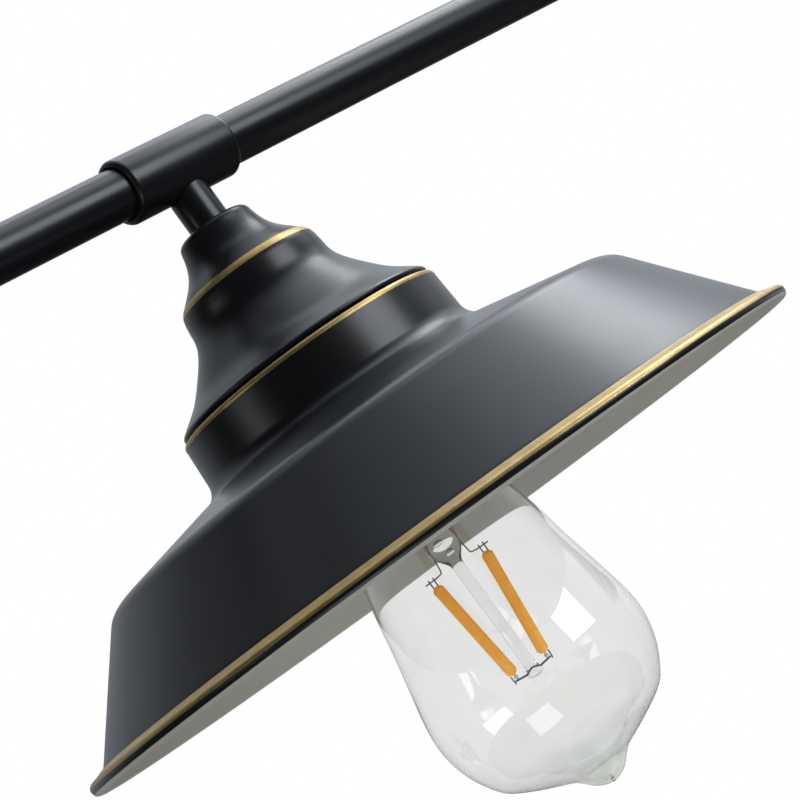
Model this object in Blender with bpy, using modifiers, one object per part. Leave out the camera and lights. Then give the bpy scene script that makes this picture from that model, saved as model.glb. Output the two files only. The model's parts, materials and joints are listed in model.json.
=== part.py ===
"""Pool table lamp: a bar with three shaded filament bulbs, hung on two rods from a ceiling canopy.

Metres, +Z up. The origin is the middle of the ceiling bracket's upper face, and the bar runs along X.
Each lamp head is laid out on its own axis, with heights counted up from the lowest edge of its rim.
"""
import math

import bmesh
import bpy
from mathutils import Matrix

MM = 0.001
GAP = 0.3 * MM                      # clearance between pieces that touch on the real lamp

# Whole lamp
HEAD_SPACING = 400 * MM
HEADS = {"left": -HEAD_SPACING, "middle": 0.0, "right": HEAD_SPACING}
RODS = {"left": -HEAD_SPACING / 2, "right": HEAD_SPACING / 2}
BAR_DROP = 400 * MM                 # ceiling to bar axis
BAR_ABOVE_RIM = 123.6 * MM
BAR_END = HEAD_SPACING + 70 * MM
BAR_RADIUS = 7.12 * MM
BAR_WALL = 1.2 * MM
WIRE_HOLE_RADIUS = 4.0 * MM

# Tee collars on the bar
COLLAR_RADIUS = 9.1 * MM
COLLAR_LENGTH = 36 * MM
COLLAR_EDGE = 1.2 * MM

# Threaded nipple and the stem tube around it
NIPPLE_RADIUS = 5.0 * MM
NIPPLE_BORE = 3.5 * MM
NIPPLE_LOW = 80 * MM
STEM_RADIUS = 5.85 * MM

# Cap
CAP_TOP = 104.6 * MM
CAP_LIP_RADIUS = 39.0 * MM
CAP_LIP = 61.5 * MM
CAP_SHEET = 1.0 * MM

# Shade
SHADE_RADIUS = 110 * MM
SHADE_TOP = 60.5 * MM
SHADE_HOLE = 20 * MM
SHADE_SHEET = 0.8 * MM
BEAD_RADIUS = 1.7 * MM

# Lamp holder for an E26 screw base
SOCKET_NECK = 19.5 * MM
SOCKET_TOP = 92.5 * MM
SOCKET_MOUTH = 39 * MM
RING_RADIUS = 24 * MM
SHELL_RADIUS = 13.8 * MM
SHELL_WALL = 0.4 * MM

# Bulb
BASE_RADIUS = 12.9 * MM
BASE_LOW = 42 * MM
BASE_SHOULDER = 61 * MM
GLASS_WALL = 0.8 * MM
BULB_RADIUS = 32.1 * MM
BULB_WIDEST = -41 * MM
BULB_TIP = -74.5 * MM
FILAMENT_TOP = -7 * MM
FILAMENT_LOW = -37.5 * MM
FILAMENT_TOP_SPREAD = 8.0 * MM
FILAMENT_LOW_SPREAD = 4.85 * MM
FILAMENT_RADIUS = 1.5 * MM
LEAD_RADIUS = 0.4 * MM
FILAMENT_TURN = math.radians(-34)   # how the plane of a bulb's two filaments lies, from the bar

# Canopy, hanging rods and swivels
CANOPY_LENGTH = 520 * MM
CANOPY_WIDTH = 64 * MM
CANOPY_DEPTH = 26 * MM
CANOPY_SHEET = 1.2 * MM
CANOPY_CORNER = 10 * MM
SWIVEL_HOLE = 8.8 * MM
BALL_RADIUS = 12 * MM
ROD_RADIUS = 5.0 * MM
ROD_BORE = 4.0 * MM
BRACKET_LENGTH = 150 * MM
BRACKET_WIDTH = 24 * MM
BRACKET_SHEET = 2.5 * MM
BRACKET_SCREW_SPACING = 88.9 * MM   # slots for a ceiling box's two screws
POST_SPACING = 128 * MM
POST_RADIUS = 4 * MM

SWIVEL_Z = -CANOPY_DEPTH + CANOPY_SHEET + math.sqrt((BALL_RADIUS + GAP) ** 2 - SWIVEL_HOLE ** 2)
RIM_Z = -BAR_DROP - BAR_ABOVE_RIM

# colour, roughness, metallic, alpha
BLACK_PAINT = (0.030, 0.033, 0.038), 0.42, 0.0, 1.0
BRASS = (0.72, 0.52, 0.24), 0.35, 1.0, 1.0
ZINC = (0.62, 0.62, 0.63), 0.40, 1.0, 1.0
PHENOLIC = (0.018, 0.018, 0.018), 0.50, 0.0, 1.0
WHITE_NYLON = (0.82, 0.82, 0.78), 0.50, 0.0, 1.0
CLEAR_GLASS = (0.95, 0.97, 0.97), 0.03, 0.0, 0.3
PHOSPHOR = (0.80, 0.38, 0.06), 0.60, 0.0, 1.0


def clear_scene():
    for thing in list(bpy.data.objects):
        bpy.data.objects.remove(thing, do_unlink=True)


def new_collection(name):
    made = bpy.data.collections.new(name)
    bpy.context.scene.collection.children.link(made)
    return made


def new_material(name, finish):
    colour, roughness, metallic, alpha = finish
    material = bpy.data.materials.new(name + "_finish")
    material.use_nodes = True
    shader = material.node_tree.nodes["Principled BSDF"]
    shader.inputs["Base Color"].default_value = (*colour, 1.0)
    shader.inputs["Roughness"].default_value = roughness
    shader.inputs["Metallic"].default_value = metallic
    shader.inputs["Alpha"].default_value = alpha
    return material


def new_piece(name, mesh, finish, parent=None, place=(0, 0, 0), turn=(0, 0, 0)):
    """Put a mesh in the lamp's collection as a named piece with its own material."""
    piece = bpy.data.objects.new(name, mesh)
    lamp.objects.link(piece)
    piece.data.materials.append(new_material(name, finish))
    piece.parent = parent
    piece.location = place
    piece.rotation_euler = turn
    return piece


def new_empty(name, place, parent=None):
    empty = bpy.data.objects.new(name, None)
    lamp.objects.link(empty)
    empty.parent = parent
    empty.location = place
    return empty


def arc(centre_r, centre_z, radius, start, end, steps):
    """Points (r, z) along a circular arc, with its angles in degrees from the +r direction."""
    points = []
    for step in range(steps + 1):
        angle = math.radians(start + (end - start) * step / steps)
        points.append((centre_r + radius * math.cos(angle), centre_z + radius * math.sin(angle)))
    return points


def outline_mesh(name, outline, closed):
    """Edges through the (r, z) points of an outline, in the XZ plane."""
    mesh = bpy.data.meshes.new(name)
    edges = [(i, i + 1) for i in range(len(outline) - 1)]
    if closed:
        edges.append((len(outline) - 1, 0))
    mesh.from_pydata([(r, 0, z) for r, z in outline], edges, [])
    return mesh


def turned(name, outline, finish, sides=24, sheet=0.0, closed=True, **placing):
    """A turned piece: an outline that runs down its outer side, swept about Z."""
    piece = new_piece(name, outline_mesh(name, outline, closed and not sheet), finish, **placing)
    screw = piece.modifiers.new("Turn", "SCREW")
    screw.axis = "Z"
    screw.steps = sides
    screw.render_steps = sides
    screw.use_merge_vertices = True
    screw.merge_threshold = 0.00001
    screw.use_smooth_shade = True
    if sheet:
        solidify = piece.modifiers.new("Sheet", "SOLIDIFY")
        solidify.thickness = sheet
        solidify.offset = -1
        solidify.use_even_offset = True
    return piece


def tube_outline(outer, inner, low, high, edge=0.0):
    """The cross-section of a tube, with an optional chamfer on its outer edges."""
    if not edge:
        return [(outer, high), (outer, low), (inner, low), (inner, high)]
    return [(outer - edge, high), (outer, high - edge), (outer, low + edge), (outer - edge, low),
            (inner, low), (inner, high)]


def cylinder_mesh(name, radius, low, high, sides):
    mesh = bpy.data.meshes.new(name)
    shape = bmesh.new()
    bmesh.ops.create_cone(shape, cap_ends=True, segments=sides, radius1=radius, radius2=radius,
                          depth=high - low, matrix=Matrix.Translation((0, 0, (low + high) / 2)))
    shape.to_mesh(mesh)
    shape.free()
    return mesh


def box_mesh(name, length, width, low, high):
    mesh = bpy.data.meshes.new(name)
    shape = bmesh.new()
    bmesh.ops.create_cube(shape, size=1.0)
    bmesh.ops.scale(shape, vec=(length, width, high - low), verts=shape.verts)
    bmesh.ops.translate(shape, vec=(0, 0, (low + high) / 2), verts=shape.verts)
    shape.to_mesh(mesh)
    shape.free()
    return mesh


def cut(piece, mesh, place=(0, 0, 0), turn=(0, 0, 0), operation="DIFFERENCE"):
    """Cut a shape away from a piece, or join one to it, with a hidden tool placed in the same parent."""
    tool = bpy.data.objects.new(mesh.name, mesh)
    cutters.objects.link(tool)
    tool.parent = piece.parent
    tool.location = place
    tool.rotation_euler = turn
    tool.hide_render = True
    tool.display_type = "WIRE"
    boolean = piece.modifiers.new(operation.title(), "BOOLEAN")
    boolean.operation = operation
    boolean.solver = "EXACT"
    boolean.object = tool


def bore(piece, radius, low, high, sides=12, place=(0, 0, 0), turn=(0, 0, 0)):
    cut(piece, cylinder_mesh(piece.name + "_bore", radius, low, high, sides), place, turn)


ALONG_X = (0, math.pi / 2, 0)


# ---------------------------------------------------------------- bar and collars

def make_bar_half(side, sign, swing):
    """Half of the bar: a tube from inside the middle collar to its end, with holes for the wires."""
    height = -BAR_DROP - SWIVEL_Z
    low = 0.5 * MM
    outline = tube_outline(BAR_RADIUS, BAR_RADIUS - BAR_WALL, low, BAR_END)
    bar = turned("bar_" + side, outline, BLACK_PAINT, sides=20, parent=swing,
                 place=(0, 0, height), turn=(0, sign * math.pi / 2, 0))
    for x in (0.0, sign * HEAD_SPACING):
        bore(bar, WIRE_HOLE_RADIUS, -2 * BAR_RADIUS, 0, place=(x, 0, height))
    bore(bar, WIRE_HOLE_RADIUS, 0, 2 * BAR_RADIUS, place=(sign * HEAD_SPACING / 2, 0, height))


def make_end_cap(side, sign, swing):
    """A low domed plug in each end of the bar."""
    plug = BAR_RADIUS - BAR_WALL - GAP
    rim = BAR_RADIUS + 1.0 * MM
    outline = [(0, 5 * MM), (rim * 0.6, 4.2 * MM), (rim, 2.4 * MM), (rim, GAP),
               (plug, GAP), (plug, -10 * MM), (0, -10 * MM)]
    turned("end_cap_" + side, outline, BLACK_PAINT, sides=20, closed=False, parent=swing,
           place=(sign * BAR_END, 0, -BAR_DROP - SWIVEL_Z), turn=(0, sign * math.pi / 2, 0))


def make_collar(name, x, facing, hole_radius, swing):
    """The sleeve on the bar, with a hole on one side for the nipple (facing -1) or the rod (+1)."""
    height = -BAR_DROP - SWIVEL_Z
    outline = tube_outline(COLLAR_RADIUS, BAR_RADIUS + GAP, -COLLAR_LENGTH / 2, COLLAR_LENGTH / 2,
                           COLLAR_EDGE)
    collar = turned(name, outline, BLACK_PAINT, sides=20, parent=swing, place=(x, 0, height),
                    turn=ALONG_X)
    low, high = sorted((0, facing * 2 * COLLAR_RADIUS))
    bore(collar, hole_radius, low, high, sides=12, place=(x, 0, height))


def cope(piece, place):
    """Cut the end of an upright tube to sit on a collar's round side."""
    radius = COLLAR_RADIUS + GAP
    bore(piece, radius, -COLLAR_LENGTH, COLLAR_LENGTH, sides=20, place=place, turn=ALONG_X)


# ---------------------------------------------------------------- lamp head

def cap_outline():
    """The cap's outer side: a short neck, a flare, a round shoulder and a bell down to the lip."""
    neck = [(NIPPLE_RADIUS + 0.5 * MM, CAP_TOP), (10.6 * MM, CAP_TOP), (11.6 * MM, CAP_TOP - 1.0 * MM)]
    flare = arc(27.8 * MM, 106.2 * MM, 17.66 * MM, -156, -124, 2)
    shoulder = [(20.6 * MM, 88.7 * MM), (21.5 * MM, 82.8 * MM)]
    bell = [(24.2 * MM, 76.4 * MM), (31.6 * MM, 67.8 * MM)]
    lip = [(37.3 * MM, 63.4 * MM), (CAP_LIP_RADIUS, CAP_LIP)]
    return neck + flare + shoulder + bell + lip


def shade_outline():
    """The shade's outer side: flat top, neck, wide flare, round crease, straight skirt, rolled bead."""
    top = [(SHADE_HOLE, SHADE_TOP), (39.6 * MM, SHADE_TOP)]
    neck = [(40.9 * MM, 50 * MM)]
    fillet = arc(46.8 * MM, 49.1 * MM, 5.9 * MM, 205, 257, 1)
    crease = arc(75.2 * MM, 27.1 * MM, 9.0 * MM, 77, 38, 1)
    skirt_end = [(104.1 * MM, 4.9 * MM)]
    bead_centre = SHADE_RADIUS - BEAD_RADIUS
    bead = arc(bead_centre, BEAD_RADIUS, BEAD_RADIUS, 90, -90, 2)
    return top + neck + fillet + crease + skirt_end + bead


def socket_outline():
    """The lamp holder: a domed body with a flange above the shade and a plain neck through it."""
    bore_radius = NIPPLE_RADIUS + GAP
    outside = [(bore_radius, SOCKET_TOP), (11 * MM, SOCKET_TOP), (18.2 * MM, 84 * MM),
               (18.2 * MM, 64 * MM), (22 * MM, 63 * MM), (22 * MM, SHADE_TOP + GAP),
               (SOCKET_NECK, SHADE_TOP + GAP), (SOCKET_NECK, SOCKET_MOUTH)]
    inside = [(15.8 * MM, SOCKET_MOUTH), (SHELL_RADIUS + GAP, 42 * MM), (SHELL_RADIUS + GAP, 71 * MM),
              (bore_radius, 73 * MM)]
    return outside + inside


def bulb_outline():
    """The bulb's glass from its neck, inside the screw base, to its tip: (r, z) down the outer side."""
    neck = [(11.7 * MM, 58 * MM), (11.7 * MM, BASE_LOW), (13.5 * MM, 40 * MM)]
    side = [(25.3 * MM, -3.8 * MM), (29.45 * MM, -25.6 * MM)]
    belly = arc(BULB_RADIUS - 29.3 * MM, BULB_WIDEST, 29.3 * MM, 0, -40, 2)
    tip = [(8.2 * MM, -68.75 * MM), (0, BULB_TIP)]
    return neck + side + belly + tip


def lead_wire(name, points, radius, finish, parent):
    """A bent wire through the given points, as a closed mesh."""
    curve = bpy.data.curves.new(name, "CURVE")
    curve.dimensions = "3D"
    curve.bevel_depth = radius
    curve.bevel_resolution = 0
    curve.use_fill_caps = True
    spline = curve.splines.new("POLY")
    spline.points.add(len(points) - 1)
    for point, place in zip(spline.points, points):
        point.co = (*place, 1.0)
    holder = bpy.data.objects.new(name, curve)
    lamp.objects.link(holder)
    bpy.context.view_layer.update()
    mesh = bpy.data.meshes.new_from_object(holder.evaluated_get(bpy.context.evaluated_depsgraph_get()))
    bpy.data.objects.remove(holder)
    shape = bmesh.new()
    shape.from_mesh(mesh)
    bmesh.ops.remove_doubles(shape, verts=shape.verts, dist=0.00001)
    shape.to_mesh(mesh)
    shape.free()
    mesh.name = name
    return new_piece(name, mesh, finish, parent=parent)


def make_filaments(side, axis):
    """Two straight filaments in series, welded to one bent support wire."""
    top, low = FILAMENT_TOP, FILAMENT_LOW
    route = []
    for sign in (-1, 1):
        leg = [(sign * 3.2 * MM, 0, top + 10 * MM), (sign * 5.5 * MM, 0, top + 5.5 * MM),
               (sign * (FILAMENT_TOP_SPREAD + 1.6 * MM), 0, top + 3.2 * MM),
               (sign * FILAMENT_TOP_SPREAD, 0, top + 1.0 * MM),
               (sign * FILAMENT_LOW_SPREAD, 0, low - 1.0 * MM)]
        route += leg if sign < 0 else leg[::-1]
    wire = lead_wire("bulb_filaments_" + side, route, LEAD_RADIUS, PHOSPHOR, axis)
    length = top - low
    lean = math.atan2(FILAMENT_TOP_SPREAD - FILAMENT_LOW_SPREAD, length)
    middle_x = (FILAMENT_TOP_SPREAD + FILAMENT_LOW_SPREAD) / 2
    for sign in (-1, 1):
        stick = cylinder_mesh("filament_" + side, FILAMENT_RADIUS, -length / 2, length / 2, 6)
        cut(wire, stick, (sign * middle_x, 0, (top + low) / 2), (0, sign * lean, 0), "UNION")


def make_bulb(side, head):
    """The bulb, on an empty on its own axis so that it can be unscrewed."""
    axis = new_empty("bulb_axis_" + side, (0, 0, 0), head)
    axis.rotation_euler = (0, 0, FILAMENT_TURN)
    turned("bulb_glass_" + side, bulb_outline(), CLEAR_GLASS, sides=16, sheet=GLASS_WALL, parent=axis)
    inner = BASE_RADIUS - 0.7 * MM
    base = [(10.5 * MM, 65 * MM), (BASE_RADIUS, BASE_SHOULDER), (BASE_RADIUS, BASE_LOW),
            (inner, BASE_LOW), (inner, BASE_SHOULDER - 0.4 * MM), (9.8 * MM, 65 * MM)]
    turned("bulb_base_" + side, base, BRASS, sides=16, parent=axis)
    insulator = [(0, 67.2 * MM), (4.8 * MM, 67.2 * MM), (9.4 * MM, 64.8 * MM), (9.4 * MM, 62.5 * MM),
                 (0, 62.5 * MM)]
    turned("bulb_insulator_" + side, insulator, PHENOLIC, sides=12, closed=False, parent=axis)
    contact = [(0, 68.9 * MM), (3 * MM, 68.6 * MM), (4.5 * MM, 67.5 * MM), (0, 67.5 * MM)]
    turned("bulb_contact_" + side, contact, ZINC, sides=8, closed=False, parent=axis)
    stem = [(0, 56 * MM), (9.8 * MM, 54 * MM), (8 * MM, 44 * MM), (4.5 * MM, 32 * MM),
            (4.5 * MM, 8 * MM), (1.8 * MM, 1 * MM), (1.8 * MM, -36 * MM), (0, -36 * MM)]
    turned("bulb_stem_" + side, stem, CLEAR_GLASS, sides=12, closed=False, parent=axis)
    make_filaments(side, axis)


def make_head(side, x, swing):
    """One lamp head, from the nipple in its collar down to the bulb."""
    head = new_empty("head_" + side, (x, 0, RIM_Z - SWIVEL_Z), swing)
    nipple = tube_outline(NIPPLE_RADIUS, NIPPLE_BORE, NIPPLE_LOW, BAR_ABOVE_RIM - BAR_RADIUS - 0.5 * MM)
    turned("nipple_" + side, nipple, ZINC, sides=12, parent=head)
    stem = tube_outline(STEM_RADIUS, NIPPLE_RADIUS + GAP, CAP_TOP + GAP, BAR_ABOVE_RIM)
    stem_tube = turned("stem_" + side, stem, BLACK_PAINT, sides=16, parent=head)
    cope(stem_tube, (0, 0, BAR_ABOVE_RIM))
    turned("cap_" + side, cap_outline(), BLACK_PAINT, sides=20, sheet=CAP_SHEET, parent=head)
    nut = new_piece("locknut_" + side, cylinder_mesh("locknut", 9.2 * MM, 99.3 * MM, 103.3 * MM, 6),
                    ZINC, parent=head)
    bore(nut, NIPPLE_RADIUS + GAP, 95 * MM, 108 * MM)
    turned("socket_body_" + side, socket_outline(), PHENOLIC, sides=16, parent=head)
    shell = tube_outline(SHELL_RADIUS, SHELL_RADIUS - SHELL_WALL, 43 * MM, 66.5 * MM)
    turned("socket_shell_" + side, shell, BRASS, sides=16, parent=head)
    ring = tube_outline(RING_RADIUS, SOCKET_NECK + GAP, SHADE_TOP - SHADE_SHEET - GAP - 4 * MM,
                        SHADE_TOP - SHADE_SHEET - GAP)
    turned("shade_ring_" + side, ring, PHENOLIC, sides=16, parent=head)
    turned("shade_" + side, shade_outline(), BLACK_PAINT, sides=28, sheet=SHADE_SHEET, parent=head)
    make_bulb(side, head)


# ---------------------------------------------------------------- ceiling parts and rods

def make_rod(side, x, swing):
    """A hanging rod: a tube from its collar up into the ball that swivels in the canopy."""
    outline = tube_outline(ROD_RADIUS, ROD_BORE, -BAR_DROP - SWIVEL_Z, 8 * MM)
    rod = turned("rod_" + side, outline, BLACK_PAINT, sides=12, parent=swing, place=(x, 0, 0))
    cope(rod, (x, 0, -BAR_DROP - SWIVEL_Z))
    ball_mesh = bpy.data.meshes.new("ball")
    shape = bmesh.new()
    bmesh.ops.create_uvsphere(shape, u_segments=16, v_segments=10, radius=BALL_RADIUS)
    shape.to_mesh(ball_mesh)
    shape.free()
    ball = new_piece("swivel_ball_" + side, ball_mesh, ZINC, parent=swing, place=(x, 0, 0))
    bore(ball, ROD_RADIUS + GAP, -2 * BALL_RADIUS, 2 * BALL_RADIUS, sides=12, place=(x, 0, 0))


def make_canopy():
    """A shallow pan, open at the ceiling, with a round hole for each swivel ball and canopy screw."""
    canopy = new_piece("canopy", box_mesh("canopy", CANOPY_LENGTH, CANOPY_WIDTH, -CANOPY_DEPTH, 0),
                       BLACK_PAINT)
    shape = bmesh.new()
    shape.from_mesh(canopy.data)
    upright = [e for e in shape.edges if abs(e.verts[0].co.z - e.verts[1].co.z) > CANOPY_DEPTH / 2]
    bmesh.ops.bevel(shape, geom=upright, offset=CANOPY_CORNER, segments=3, profile=0.5, affect="EDGES")
    top = [f for f in shape.faces if f.normal.z > 0.9]
    bmesh.ops.delete(shape, geom=top, context="FACES_ONLY")
    shape.to_mesh(canopy.data)
    shape.free()
    solidify = canopy.modifiers.new("Sheet", "SOLIDIFY")
    solidify.thickness = CANOPY_SHEET
    solidify.offset = -1
    solidify.use_even_offset = True
    for x in RODS.values():
        bore(canopy, SWIVEL_HOLE, -2 * CANOPY_DEPTH, -CANOPY_DEPTH / 2, sides=20, place=(x, 0, 0))
    for sign in (-1, 1):
        bore(canopy, 2.5 * MM, -2 * CANOPY_DEPTH, -CANOPY_DEPTH / 2, place=(sign * POST_SPACING / 2, 0, 0))


def make_bracket():
    """The flat ceiling bar, with two slots for the ceiling screws and two tapped posts."""
    bar = new_piece("bracket", box_mesh("bracket", BRACKET_LENGTH, BRACKET_WIDTH, -BRACKET_SHEET, 0), ZINC)
    post_end = -CANOPY_DEPTH + CANOPY_SHEET + GAP
    for sign in (-1, 1):
        x = sign * POST_SPACING / 2
        cut(bar, cylinder_mesh("post", POST_RADIUS, post_end, -BRACKET_SHEET / 2, 16), (x, 0, 0),
            operation="UNION")
        bore(bar, 2.2 * MM, post_end - 1 * MM, -8 * MM, place=(x, 0, 0))
        slot = box_mesh("slot", 14 * MM, 5 * MM, -2 * BRACKET_SHEET, BRACKET_SHEET)
        cut(bar, slot, (sign * BRACKET_SCREW_SPACING / 2, 0, 0))


def make_canopy_screw(side, sign):
    """A round-headed screw that holds the canopy up against its bracket."""
    under = -CANOPY_DEPTH - GAP
    outline = [(0, -12 * MM), (1.9 * MM, -12 * MM), (1.9 * MM, under), (6 * MM, under),
               (6 * MM, under - 5 * MM), (4.4 * MM, under - 7 * MM), (0, under - 7 * MM)]
    turned("canopy_screw_" + side, outline, BLACK_PAINT, sides=16, closed=False,
           place=(sign * POST_SPACING / 2, 0, 0))


def make_terminal_block():
    """The mains terminal block under the bracket, with a hole through it for each wire."""
    top = -BRACKET_SHEET - GAP
    block = new_piece("terminal_block", box_mesh("block", 30 * MM, 18 * MM, top - 12 * MM, top),
                      WHITE_NYLON)
    for x in (-9 * MM, 0, 9 * MM):
        bore(block, 2 * MM, -12 * MM, 12 * MM, sides=8, place=(x, 0, top - 6 * MM),
             turn=(math.pi / 2, 0, 0))


clear_scene()
lamp = new_collection("pool_table_lamp")
cutters = new_collection("cutters")
make_bracket()
make_terminal_block()
make_canopy()
swing = new_empty("swing_axis", (0, 0, SWIVEL_Z))
for side, sign in (("left", -1), ("right", 1)):
    make_canopy_screw(side, sign)
    make_rod(side, RODS[side], swing)
    make_collar("rod_collar_" + side, RODS[side], 1, ROD_BORE, swing)
    make_bar_half(side, sign, swing)
    make_end_cap(side, sign, swing)
for side, x in HEADS.items():
    make_collar("tee_collar_" + side, x, -1, NIPPLE_RADIUS + GAP, swing)
    make_head(side, x, swing)
bpy.context.view_layer.update()
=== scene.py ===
"""Looks for the pool table lamp: fine turned shells, painted metal, clear glass bulbs, studio and camera."""
import json
import math

import bmesh
import bpy
from mathutils import Matrix, Vector


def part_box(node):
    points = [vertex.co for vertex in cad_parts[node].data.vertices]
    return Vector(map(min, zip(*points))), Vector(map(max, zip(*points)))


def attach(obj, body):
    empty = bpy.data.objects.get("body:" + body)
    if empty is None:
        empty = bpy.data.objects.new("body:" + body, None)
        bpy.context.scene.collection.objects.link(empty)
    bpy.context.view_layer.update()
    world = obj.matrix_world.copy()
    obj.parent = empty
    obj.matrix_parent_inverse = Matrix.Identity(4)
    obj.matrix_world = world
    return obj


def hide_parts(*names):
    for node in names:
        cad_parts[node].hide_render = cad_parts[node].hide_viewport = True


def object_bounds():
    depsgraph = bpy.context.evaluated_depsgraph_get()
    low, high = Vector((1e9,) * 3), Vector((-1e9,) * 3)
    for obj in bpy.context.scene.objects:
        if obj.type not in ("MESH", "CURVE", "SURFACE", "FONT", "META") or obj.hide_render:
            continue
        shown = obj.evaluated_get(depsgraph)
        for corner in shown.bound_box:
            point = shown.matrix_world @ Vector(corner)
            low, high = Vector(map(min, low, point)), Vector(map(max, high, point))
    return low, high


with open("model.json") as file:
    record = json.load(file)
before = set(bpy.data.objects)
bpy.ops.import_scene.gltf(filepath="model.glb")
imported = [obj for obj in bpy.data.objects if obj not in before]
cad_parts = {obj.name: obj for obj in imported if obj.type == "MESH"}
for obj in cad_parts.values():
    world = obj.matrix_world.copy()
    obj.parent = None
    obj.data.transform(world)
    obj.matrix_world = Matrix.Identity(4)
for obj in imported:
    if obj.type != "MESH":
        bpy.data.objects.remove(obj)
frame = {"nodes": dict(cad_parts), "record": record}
cad_low, cad_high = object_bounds()

MM = 0.001
TURN = 2 * math.pi
SIDES = ("left", "middle", "right")           # the three lamp heads
ENDS = {"left": -1, "right": 1}               # the bar's two ends, the rods, the canopy's screws
ROUND = 160                                   # segments round a large turned piece
SMALL_ROUND = 64                              # and round a stem

# Sizes in millimetres. Heights are above the plane of the shades' rims.
SHADE_SHEET = 0.65
LINING = 0.12                                 # thickness of the shade's white inside
BEAD = 1.7                                    # radius of the rolled rim
CAP_SHEET = 0.9
BAR_WALL, ROD_WALL = 1.2, 0.8
STEM_EDGE = 0.8                               # rounding of a stem's end against its collar
STEM_SINK = 0.2                               # how deep that end sits in the collar's surface
BULB_RADIUS = 32.05
BULB_WALL = 0.6
FILAMENT_TURN = math.radians(-34)             # the plane of a bulb's two filaments, from the bar
FILAMENT_TOP, FILAMENT_LOW = -7.0, -37.5
TOP_SPREAD, LOW_SPREAD = 8.0, 4.85            # from the bulb's axis to a filament's two ends
THREAD_PITCH = 3.63
THREAD_DEPTH = 0.6
BASE_RADIUS = 12.2                            # middle of the thread on the bulb's base
SHELL_RADIUS = 13.0                           # and in the holder
BALL_RADIUS = 11.95
CANOPY_WALL = 1.2
CANOPY_CORNER = 10.0
CANOPY_EDGE = 3.0                             # rounding of the canopy's lower edge
ROD_HOLE, SCREW_HOLE = 8.8, 2.5               # radii of the canopy's holes

CAMERA_AIM = (11.98, -6.0, 38.07)             # millimetres from the middle of the middle shade's rim
CAMERA_DISTANCE = 616.2
CAMERA_AZIMUTH = math.radians(-37.15)
CAMERA_ELEVATION = math.radians(-5.0)
CAMERA_ROLL = math.radians(-36.135)
CAMERA_LENS = 105.46

# Degrees to the right of the camera, degrees up, then distance, width and height in metres, and radiance.
SOFTBOXES = {"high_right": (126, 42, 1.7, 0.95, 0.5, 4.5),
             "side_right": (63, 17, 1.7, 1.0, 0.75, 5.4),
             "side_left": (-58, 8, 1.7, 0.45, 0.8, 2.6),
             "under_front": (-20, -40, 0.95, 0.4, 0.35, 2.4)}
SOFTBOX_COLOUR = (0.92, 0.97, 1.0)
SOFTBOX_AIM = 50                              # millimetres above the middle shade's rim

# Soft patches of the world's light: degrees to the right of the camera, degrees up, the cosine at which
# the patch fades out, and its strength. AMBIENT is the strength outside of them.
GLOWS = ((150, 28, 0.6, 0.9), (122, 48, 0.73, 2.2), (180, 76, 0.80, 1.1), (-150, 22, 0.6, 0.5))
AMBIENT = 0.038
WORLD_COLOUR = (0.72, 0.775, 0.84)

FLOOR_SIZE = 4.6                              # metres
FLOOR_DROP = 3                                # metres below the lamp


# ---------------------------------------------------------------- places, from the frame

def middle_of(node):
    """The middle of a node's box, in metres."""
    low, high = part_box(node)
    return (low + high) / 2


def size_of(node):
    """The lengths of a node's box, in metres."""
    low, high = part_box(node)
    return high - low


def heights(node):
    """The lowest and highest point of a node, in millimetres above the rims."""
    low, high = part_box(node)
    return (low.z - RIM_Z) / MM, (high.z - RIM_Z) / MM


HEAD_X = {side: middle_of("shade_" + side).x for side in SIDES}
ROD_X = {side: middle_of("rod_" + side).x for side in ENDS}
RIM_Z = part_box("shade_middle")[0].z
BAR_Z = middle_of("bar_left").z
BAR_RADIUS = size_of("bar_left").z / 2
COLLAR_RADIUS = size_of("tee_collar_middle").z / 2
COLLAR_LENGTH = size_of("tee_collar_middle").x
SHADE_RADIUS = size_of("shade_middle").y / 2 / MM
SHADE_TOP = size_of("shade_middle").z / MM
BEAD_R, BEAD_Z = SHADE_RADIUS - 0.1 - BEAD, BEAD + 0.05   # the bead's middle, just inside the CAD's box
CAP_LOW, CAP_HIGH = heights("cap_middle")
CAP_LIP = size_of("cap_middle").y / 2 / MM
STEM_RADIUS = size_of("stem_middle").y / 2
BULB_TIP = heights("bulb_glass_middle")[0]
SWIVEL_Z = middle_of("swivel_ball_left").z


def head_place(side):
    """The middle of a shade's rim, where each head's pieces have their origin."""
    return (HEAD_X[side], 0, RIM_Z)


# ---------------------------------------------------------------- camera, lights, floor

def away_from_aim(azimuth, elevation):
    """The direction from the aim point to a viewer: azimuth 0 is at -Y, and +90 degrees at +X."""
    return Vector((math.sin(azimuth) * math.cos(elevation), -math.cos(azimuth) * math.cos(elevation),
                   math.sin(elevation)))


def make_camera():
    """A long lens that looks slightly up at the middle head, rolled to one side."""
    data = bpy.data.cameras.new("camera")
    data.lens = CAMERA_LENS
    data.clip_start = 0.01
    camera = bpy.data.objects.new("camera", data)
    bpy.context.scene.collection.objects.link(camera)
    back = away_from_aim(CAMERA_AZIMUTH, CAMERA_ELEVATION)
    aim = Vector(head_place("middle")) + Vector(CAMERA_AIM) * MM
    camera.location = aim + back * CAMERA_DISTANCE * MM
    level = (-back).to_track_quat("-Z", "Y")
    camera.rotation_mode = "QUATERNION"
    camera.rotation_quaternion = level @ Matrix.Rotation(CAMERA_ROLL, 3, "Z").to_quaternion()
    bpy.context.scene.camera = camera


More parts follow.
